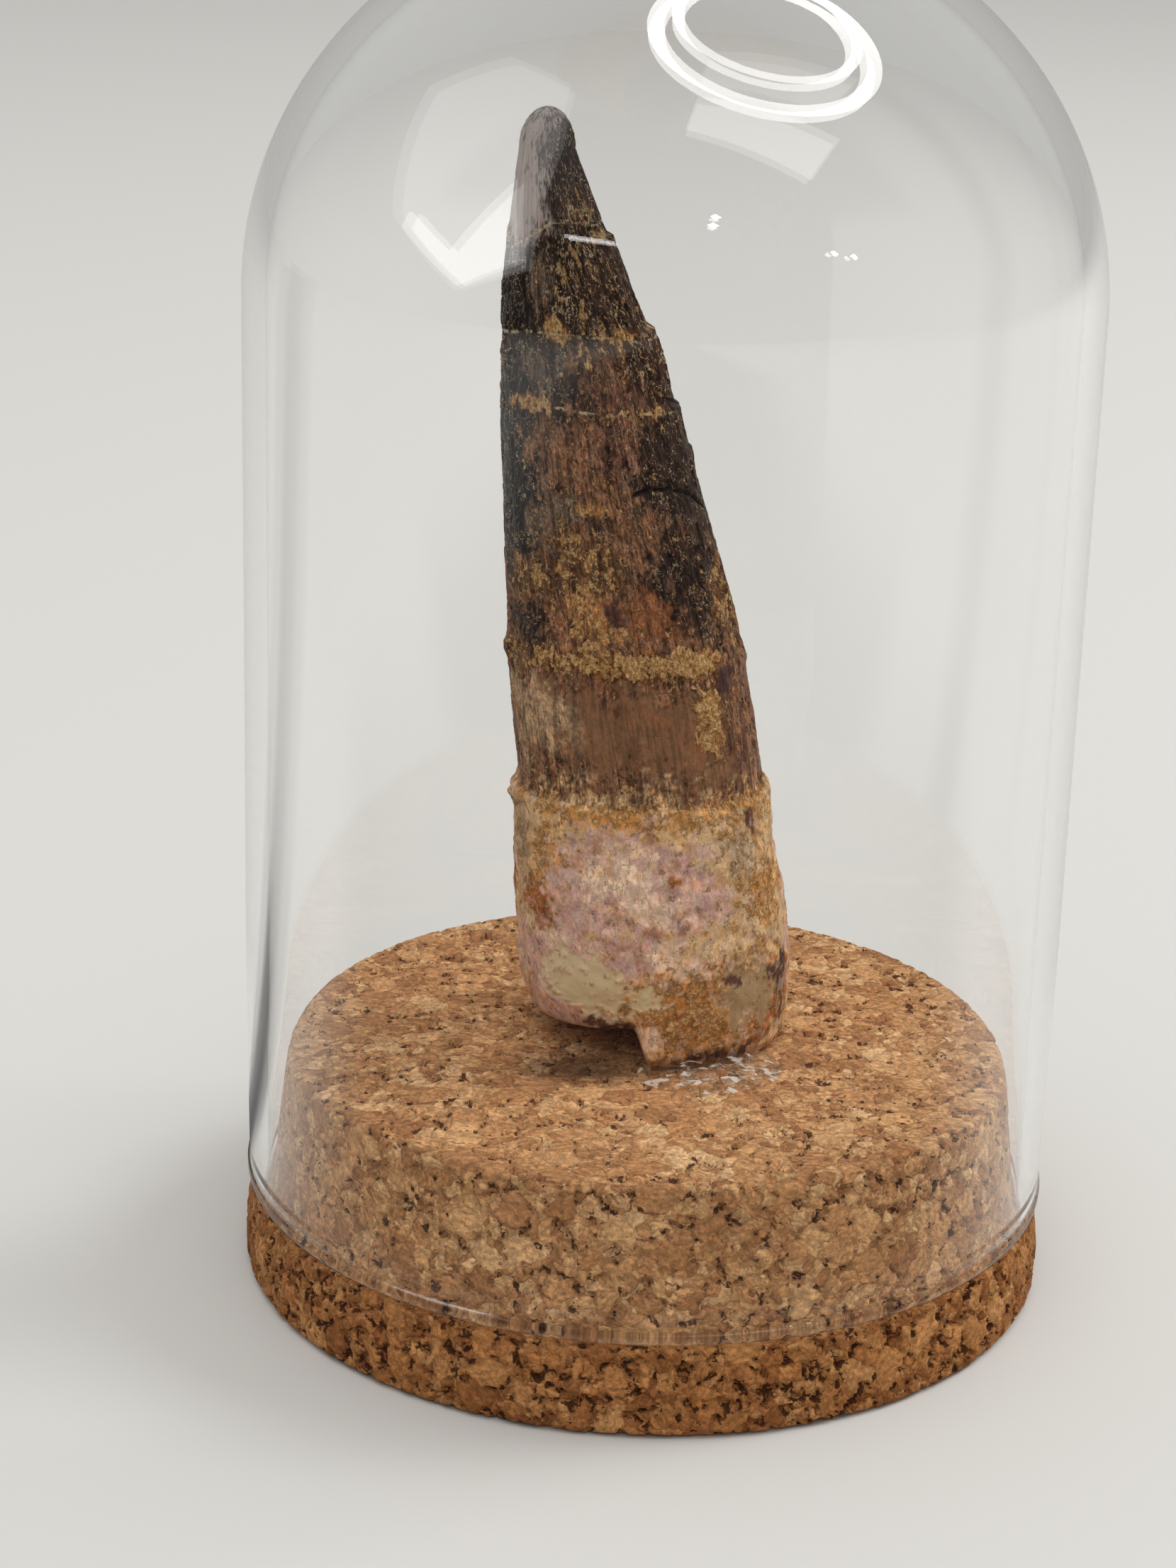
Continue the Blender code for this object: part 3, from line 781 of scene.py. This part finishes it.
def paint_tooth(turn, height, radius, skin, in_root):
    """Lays the finishes over each other: channels of colour, gloss, wrinkle, crumbs and relief."""
    ragged = [sum(share * noise_field(skin, size, shift) for size, share in RAGGED)
              for shift in RAGGED_SHIFTS]
    table = {name: np.array([*(linear(c) for c in row[0]), *row[1:]]) for name, row in FINISHES.items()}
    crown, upper, root = (table[name] for name in ("mid brown", "dark brown", "root cream"))
    higher = smooth((height - 62) / 14)[..., None]
    channels = (crown * (1 - higher) + upper * higher) * (1 - in_root[..., None]) + root * in_root[..., None]
    for number, patch in enumerate(back_patches() + PATCHES):
        finish, angle, middle, half_width, half_height, *tilt = patch
        away = np.radians(degrees_from(turn, angle)) * radius
        up = height - middle
        lean = radians(tilt[0] if tilt else 0)
        across = away * cos(lean) + up * sin(lean)
        along = up * cos(lean) - away * sin(lean)
        depth = 1 - np.hypot(across / half_width, along / half_height)
        mask = smooth((depth + ragged[number % len(ragged)]) / 0.35)[..., None]
        channels = channels * (1 - mask) + table[finish] * mask
    return channels


def tooth_grid():
    """The tooth's points in rings, with what its material reads at each point."""
    height, inset, shrink, above, free, top = tooth_rings()
    turn = np.linspace(0, 2 * pi, TOOTH_SEGMENTS, endpoint=False)[None, :] + height * 0
    height = height + turn * 0
    middle, half = tooth_section(height)
    deep = ROOT_DEPTH_RATIO + (TIP_DEPTH_RATIO - ROOT_DEPTH_RATIO) * smooth(
        (height - ROUNDER_FROM) / (TIP_BASE - ROUNDER_FROM))
    out, in_root = solid_relief(turn, height)
    settle = smooth((height - TOOTH_FLOOR) / (SMOOTH_FOOT - TOOTH_FLOOR))

    core = half * shrink - inset
    share = core / half
    rough_x = middle + core * np.cos(turn)
    rough_y = TOOTH_CENTRE_Y + core * deep * np.sin(turn)
    floor = underside(rough_x, rough_y)
    z = floor + above + free * (top - floor - above)
    skin = np.stack((SKIN_RADIUS * share * np.cos(turn), SKIN_RADIUS * share * np.sin(turn), z), axis=-1)

    channels = paint_tooth(turn, z, half * share, skin, in_root)
    gloss, wrinkle, ochre, cream, streak, relief = np.moveaxis(channels[..., 3:], -1, 0)
    crack, vein = (np.min([distance_to_line(turn, z, half, line) for line in lines], axis=0)
                   for lines in (OPEN_CRACKS, PALE_LINES))
    wander = 0.35 * noise_field(skin, 1.2, 5)
    crack = crack + np.abs(wander) * 0.3
    vein = vein + np.abs(wander)

    upright = skin * (1, 1, 0.1)
    flutes = 0.11 * noise_field(upright, 1.1, 3) + 0.09 * noise_field(upright, 0.5, 9)
    grains = noise_field(skin * (1, 1, 0.6), 0.55, 71) + 0.6 * noise_field(skin, 0.3, 83)
    plates = noise_field(skin * (1, 1, 0.5), 1.5, 17) + 0.45 * noise_field(skin, 0.5, 29)
    chip = smooth((plates - 0.1) / 0.12) * wrinkle * (1 - in_root)
    pits = smooth((noise_field(skin, 1.3, 91) - 0.38) / 0.2)
    fine = flutes * (1 - in_root) * (0.5 + streak)
    fine += 0.08 * grains * wrinkle * (1 + in_root)
    fine += relief * (1 + 0.8 * grains) - 0.28 * chip
    fine += in_root * (0.16 * noise_field(skin, 2, 61) - 0.22 * pits * (wrinkle > 0.3))
    fine -= 0.35 * smooth(1 - crack / 0.35) + 0.05 * smooth(1 - vein / 0.3)
    reach = core + (out + fine) * settle * shrink
    x = middle + reach * np.cos(turn)
    y = TOOTH_CENTRE_Y + reach * deep * np.sin(turn)
    points = np.stack((x, y, z), axis=-1)
    layers = {
        "tone": channels[..., :3], "gloss": gloss, "wrinkle": wrinkle, "ochre": ochre + 0.16 * chip,
        "cream": cream, "streak": streak, "crack": crack, "vein": vein, "enamel": 1 - in_root, "skin": skin}
    return points, layers


def store_layers(mesh, layers):
    """Keeps each layer as an attribute of the mesh's points, whose first and last are the tips."""
    for name, values in layers.items():
        width = values.shape[2] if values.ndim == 3 else 1
        flat = values.reshape(-1, width)
        flat = np.concatenate((flat[:1], flat, flat[-1:]))
        if name == "tone":
            kind, key = "FLOAT_COLOR", "color"
            flat = np.concatenate((flat, np.ones((len(flat), 1))), axis=1)
        else:
            kind, key = ("FLOAT_VECTOR", "vector") if width == 3 else ("FLOAT", "value")
        mesh.attributes.new(name, kind, "POINT").data.foreach_set(key, flat.astype(np.float32).ravel())


def tooth_material():
    material, tree, shader = new_material("fossil enamel and root", {"Specular IOR Level": 0.09})
    skin = tree.attribute("skin", "Vector")
    upright = tree.vector("MULTIPLY", skin, (1, 1, 0.09))
    tint = tree.attribute("tone", "Color")
    wrinkle = tree.attribute("wrinkle")
    enamel = tree.span(tree.attribute("enamel"), 0.35, 0.65)
    root = tree.minus(1, enamel)

    lively = tree.span(wrinkle, 0, 0.5)
    broad = tree.noise(skin, 0.6, 5, 0.66)
    fine = tree.noise(skin, 3, 4, 0.65)
    grit = tree.noise(skin, 7, 3, 0.6)
    tint = tree.shade(lively, tint, tree.span(broad, 0.3, 0.7, 0.66, 1.4))
    speckled = tree.times(lively, tree.span(enamel, 0, 1, 0.32, 0.85))
    tint = tree.shade(speckled, tint, tree.span(fine, 0.3, 0.7, 0.62, 1.38))

    rusty = tree.span(tree.noise(tree.vector("ADD", skin, (3, 8, 6)), 0.7, 4, 0.58), 0.5, 0.62)
    rooted = tree.times(lively, root)
    tint = tree.shade(tree.times(rusty, rooted), tint, (0.92, 0.8, 0.62, 1))
    chalky = tree.span(tree.noise(tree.vector("ADD", skin, (9, 1, 2)), 0.8, 4, 0.58), 0.5, 0.62)
    chalky = tree.times(chalky, tree.times(rooted, 0.4))
    tint = tree.mix(chalky, tint, rgba(234, 204, 184))
    tint = tree.shade(tree.times(rusty, enamel), tint, (1.12, 0.98, 0.92, 1))

    lines = tree.noise(upright, 2.2, 4, 0.62)
    dark_lines = tree.math("MAXIMUM", tree.span(lines, 0.5, 0.6),
                           tree.span(tree.noise(upright, 0.75, 3, 0.6), 0.52, 0.6, 0, 0.85))
    dark_lines = tree.times(dark_lines, enamel)
    dark_lines = tree.times(dark_lines, tree.span(wrinkle, 0.1, 0.6, 0.45, 1))
    tint = tree.shade(dark_lines, tint, (0.42, 0.4, 0.4, 1))
    # painted highlight: pale grey vertical streaks for the gleam on the flutes' ridges
    grey = tree.noise(tree.vector("ADD", upright, (31, 7, 2)), 3, 4, 0.62)
    grey = tree.times(tree.span(grey, 0.53, 0.63), tree.attribute("streak"))
    tint = tree.mix(grey, tint, rgba(138, 124, 114))

    wrinkles = tree.noise(tree.vector("MULTIPLY", skin, (1, 1, 0.5)), 3.4, 4, 0.64)
    creased = tree.times(wrinkle, tree.span(enamel, 0, 1, 0.34, 1))
    # painted shade in the wrinkles' troughs and painted highlight on their crests
    painted_trough_shade = tree.times(tree.fade(wrinkles, 0.4, 0.5), creased)
    tint = tree.shade(painted_trough_shade, tint, (0.36, 0.32, 0.3, 1))
    painted_crest_highlight = tree.times(tree.span(wrinkles, 0.54, 0.64), creased)
    tint = tree.shade(painted_crest_highlight, tint, (1.6, 1.55, 1.48, 1))

    crumbs = tree.noise(tree.vector("ADD", skin, (5, 3, 1)), 1.1, 5, 0.64)
    crumbs = tree.times_add(tree.minus(tree.attribute("ochre"), 0.5), 0.42, crumbs)
    # painted shadow: a dark rim just outside each crumb
    painted_crumb_shadow = tree.times(tree.span(crumbs, 0.43, 0.485), tree.fade(crumbs, 0.485, 0.51))
    tint = tree.shade(tree.times(painted_crumb_shadow, 0.7), tint, (0.42, 0.36, 0.32, 1))
    ochre = tree.span(crumbs, 0.49, 0.53)
    ochre_tint = tree.ramp(tree.times_add(fine, 0.6, tree.times(grit, 0.4)),
                           (0.4, (138, 92, 50)), (0.5, (188, 138, 82)), (0.6, (232, 194, 138)))
    tint = tree.mix(tree.times(ochre, 0.92), tint, ochre_tint)

    upward = tree.span(enamel, 0, 1, 0.4, 1)
    squeeze = tree.add("ShaderNodeCombineXYZ", {"X": 1, "Y": 1, "Z": upward})
    flecks = tree.vector("MULTIPLY", tree.vector("ADD", skin, (17, 9, 4)), squeeze.outputs[0])
    ridge = tree.math("ABSOLUTE", tree.minus(tree.noise(flecks, 1.1, 3, 0.6), 0.5))
    width = tree.times(tree.attribute("cream"), 0.052)
    cream = tree.fade(tree.minus(ridge, width), -0.012, 0.004)
    cream = tree.times(cream, tree.span(broad, 0.44, 0.52))
    cream = tree.times(cream, tree.span(fine, 0.42, 0.5))
    cream_tint = tree.mix(tree.span(grit, 0.38, 0.62), rgba(176, 140, 98), rgba(238, 216, 176))
    tint = tree.mix(tree.times(cream, 0.9), tint, cream_tint)

    vein = tree.fade(tree.attribute("vein"), 0.1, 0.26)
    vein = tree.times(vein, tree.span(fine, 0.38, 0.5))
    tint = tree.mix(tree.times(vein, 0.85), tint, rgba(214, 188, 150))
    crack = tree.fade(tree.attribute("crack"), 0.12, 0.3)
    tint = tree.mix(crack, tint, rgba(24, 16, 13))

    gloss = tree.times(tree.attribute("gloss"), tree.minus(1, ochre))
    rough = tree.span(gloss, 0, 1, 0.8, 0.36)
    rough = tree.times_add(tree.minus(grit, 0.5), 0.3, rough)
    height = tree.stack((wrinkles, tree.times(creased, 1.6)), (lines, tree.times(enamel, -0.9)), (grit, 0.3),
                        (fine, tree.times(lively, 0.4)), (ochre, 0.35), (cream, 0.2), (crack, -1))
    finish_shader(tree, shader, tint, rough, height, 1, 0.22)
    return material


def make_tooth():
    grid, layers = tooth_grid()
    points, faces = closed_rings(grid, (grid[0].mean(axis=0), grid[-1].mean(axis=0)))
    piece = mesh_piece("tooth_fossil", points, faces, tooth_material())
    store_layers(piece.data, layers)
    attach(piece, "root")
    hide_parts("tooth")


# Glue

def glue_material():
    material, tree, shader = new_material("clear glue", {"IOR": 1.42})
    place = tree.vector("MULTIPLY", tree.add("ShaderNodeTexCoord").outputs["Object"], (0.6, 1, 1))
    ripple = tree.noise(place, 1 / (0.9 * MM), 3, 0.6)
    # where the ripple rises the glue turns milky and pale: partly its own cloudiness, partly painted
    # highlight
    tree.feed(shader.inputs["Transmission Weight"], tree.span(ripple, 0.54, 0.62, 1, 0.2))
    tree.feed(shader.inputs["Alpha"], tree.span(ripple, 0.54, 0.64, 0.35, 0.8))
    finish_shader(tree, shader, (0.86, 0.78, 0.68, 1), 0.1, ripple, 0.8, 0.3)
    lets_lamps_through(tree, shader, (0.9, 0.88, 0.85, 1))
    return material


def make_glue():
    rows = []
    for i in range(GLUE_STEPS + 1):
        t = i / GLUE_STEPS
        turn = radians(GLUE_START + (GLUE_END - GLUE_START) * t)
        swell = sqrt(max(sin(pi * t), 0)) * 0.9 + 0.1
        row = []
        for j in range(GLUE_ACROSS + 1):
            across = j / GLUE_ACROSS
            reach = FOOT_HALF - 0.6 + across * GLUE_WIDTH * swell
            spot = Vector((reach * cos(turn), reach * sin(turn), 0))
            crinkle = 0.4 * noise.noise(spot / 1.5) + 0.2 * noise.noise(spot / 0.7 + Vector((5, 5, 5)))
            rise = (1 - across ** 2.2) * swell * GLUE_HEIGHT * (1 + crinkle)
            row.append((FOOT_MIDDLE + spot.x, TOOTH_CENTRE_Y + spot.y * ROOT_DEPTH_RATIO,
                        PLUG_TOP + 0.02 + rise))
        under = [(x, y, PLUG_TOP - 0.1) for x, y, _ in reversed(row)]
        rows.append(row + under)
    width = len(rows[0])
    points = sum(rows, [])
    faces = [tuple(reversed(range(width)))]
    for i in range(GLUE_STEPS):
        faces += ring_faces(i * width, (i + 1) * width, width)
    faces.append(tuple(GLUE_STEPS * width + j for j in range(width)))
    piece = mesh_piece("glue_blob", points, faces, glue_material())
    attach(piece, "root")
    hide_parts("glue")


# Stage, lights and camera

def whole_floor(height):
    """The floor's square at a height in millimetres, as points and a face."""
    half = FLOOR_SIZE / 2 / MM
    corners = ((-half, -half), (half, -half), (half, half), (-half, half))
    return [(x, y, height) for x, y in corners], [(0, 1, 2, 3)]


def make_floor():
    inputs = {"Base Color": rgba(221, 219, 215), "Roughness": 0.7, "Specular IOR Level": 0}
    mesh_piece("floor", *whole_floor(-0.05), new_material("pale floor", inputs)[0])


def make_world():
    """Soft light from above and behind, dim in front; seen directly, it is a plain pale backdrop."""
    world = bpy.data.worlds.new("studio")
    world.use_nodes = True
    bpy.context.scene.world = world
    tree = Tree(world.node_tree)
    way = tree.add("ShaderNodeTexCoord").outputs["Generated"]
    up = tree.dot(way, (0, 0, 1))
    back = tree.dot(way, (0, 1, 0))
    level = tree.mix(tree.span(back, -0.7, 0.6), (0.08, 0.08, 0.08, 1), (0.36, 0.36, 0.36, 1))
    light = tree.mix(tree.span(up, 0, 1), level, (0.8, 0.8, 0.79, 1))
    path = tree.add("ShaderNodeLightPath")
    mirrored = tree.math("MINIMUM", path.outputs["Glossy Depth"], 1)
    in_front = tree.times(tree.fade(back, -0.8, -0.2), mirrored)
    gloom = tree.mix(tree.span(up, 0.3, 0.9), (0.05, 0.05, 0.05, 1), (0.18, 0.18, 0.18, 1))
    backdrop = tree.mix(in_front, (0.48, 0.475, 0.457, 1), gloom)
    seen = tree.math("MAXIMUM", path.outputs["Is Camera Ray"], path.outputs["Is Transmission Ray"])
    seen = tree.math("MAXIMUM", seen, path.outputs["Is Glossy Ray"])
    seen = tree.times(seen, tree.math("LESS_THAN", path.outputs["Diffuse Depth"], 0.5))
    tint = tree.mix(seen, light, backdrop)
    tree.feed(world.node_tree.nodes["Background"].inputs["Color"], tint)


def mirrored_only(name, points, faces, material):
    """A piece of the stage that the camera, soft light and shadows don't meet."""
    thing = mesh_piece(name, points, faces, material)
    thing.visible_camera = thing.visible_diffuse = thing.visible_shadow = False


def make_flag():
    """A dark card in front, with a streak to the left, that only shows in the dome's reflections."""
    material, tree = bare_material("dark card")
    place = tree.add("ShaderNodeTexCoord").outputs["Object"]
    away = tree.span(tree.vector("LENGTH", place), FLAG_START * MM, FLAG_FULL * MM)
    front = tree.span(tree.dot(place, (0, -1, 0)), 0, FLAG_START * MM)
    sideways = tree.math("ABSOLUTE", tree.dot(place, (1, 0, 0)))
    narrow = tree.fade(sideways, FLAG_WIDTH * MM, 2 * FLAG_WIDTH * MM)
    front = tree.times(tree.times(front, away), narrow)
    streak = tree.dot(tree.vector("NORMALIZE", place), STREAK_WAY)
    front = tree.math("MAXIMUM", front, tree.span(streak, 0.988, 0.998, 0, 0.85))
    mirrored = tree.math("MINIMUM", tree.add("ShaderNodeLightPath").outputs["Glossy Depth"], 1)
    front = tree.times(front, mirrored)
    clear = tree.add("ShaderNodeBsdfTransparent").outputs[0]
    dark = tree.add("ShaderNodeEmission", {"Color": (0.04, 0.04, 0.04, 1)}).outputs[0]
    tree.surface(tree.add("ShaderNodeMixShader", {0: front, 1: clear, 2: dark}).outputs[0])
    mirrored_only("dark_card", *whole_floor(1), material)


def soft_light(name, direction, distance, size, power):
    data = bpy.data.lights.new(name, "AREA")
    data.shape = "DISK"
    data.size = size
    data.energy = power
    light = new_object(name, data)
    light.location = LAMP_CENTRE + Vector(direction).normalized() * distance
    light.rotation_mode = "QUATERNION"
    light.rotation_quaternion = Vector(direction).to_track_quat("Z", "Y")
    light.visible_camera = light.visible_glossy = light.visible_transmission = False


def glow_mesh(name, points, faces, strength):
    material, tree = bare_material(name)
    glow = tree.add("ShaderNodeEmission", {"Color": (1, 0.985, 0.96, 1), "Strength": strength})
    tree.surface(glow.outputs[0])
    mirrored_only(name, points, faces, material)


def glow_sheet(name, strength, distance, directions):
    centre = LAMP_CENTRE / MM
    points = [tuple(centre + Vector(d).normalized() * distance) for d in directions]
    glow_mesh(name, points, [tuple(range(len(points)))], strength)


def glow_ring(name, strength, distance, direction, radius, band):
    centre = LAMP_CENTRE / MM
    turn = Vector(direction).to_track_quat("Z", "Y")
    points = []
    for reach in (radius - band / 2, radius + band / 2):
        for j in range(RING_STEPS):
            t = 2 * pi * j / RING_STEPS
            points.append(centre + turn @ Vector((reach * cos(t), reach * sin(t), distance)))
    glow_mesh(name, points, ring_faces(0, RING_STEPS, RING_STEPS), strength)


def make_lights():
    for lamp in SOFT_LIGHTS:
        soft_light(*lamp)
    for lamp in GLOW_RINGS:
        glow_ring(*lamp)
    for lamp in GLOW_SHEETS:
        glow_sheet(*lamp)
    for x, y, z in SPOTS:
        left, right = x - SPOT_WIDTH, x + SPOT_WIDTH
        corners = ((left, y, z), (x, y, z + SPOT_HEIGHT), (right, y, z), (x, y, z - SPOT_HEIGHT))
        glow_sheet("spot lamp", 45, 1200, corners)


def make_camera():
    data = bpy.data.cameras.new("camera")
    data.sensor_width = SENSOR
    data.lens = SENSOR * FOCAL_PIXELS / IMAGE_HEIGHT
    data.clip_start = 0.01
    data.clip_end = 20.0
    camera = new_object("camera", data)
    e = radians(CAMERA_ELEVATION)
    place = Vector((0, -cos(e), sin(e))) * CAMERA_DISTANCE * MM
    aim = (-place).to_track_quat("-Z", "Y").to_matrix()
    for angle, axis in ((-CAMERA_YAW, "Y"), (CAMERA_PITCH, "X"), (CAMERA_ROLL, "Z")):
        aim = aim @ Matrix.Rotation(radians(angle), 3, axis)
    camera.matrix_world = Matrix.Translation(place) @ aim.to_4x4()
    bpy.context.scene.camera = camera
    bpy.context.scene.view_settings.view_transform = "Standard"


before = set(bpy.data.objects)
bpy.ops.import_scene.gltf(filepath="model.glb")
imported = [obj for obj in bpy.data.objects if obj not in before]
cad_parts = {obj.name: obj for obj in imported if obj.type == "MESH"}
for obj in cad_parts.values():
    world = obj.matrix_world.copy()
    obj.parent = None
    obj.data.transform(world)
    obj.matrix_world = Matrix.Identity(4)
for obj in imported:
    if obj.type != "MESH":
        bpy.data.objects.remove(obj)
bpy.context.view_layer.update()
make_camera()
make_cork()
make_dome()
make_tooth()
make_glue()
make_floor()
make_world()
make_flag()
make_lights()
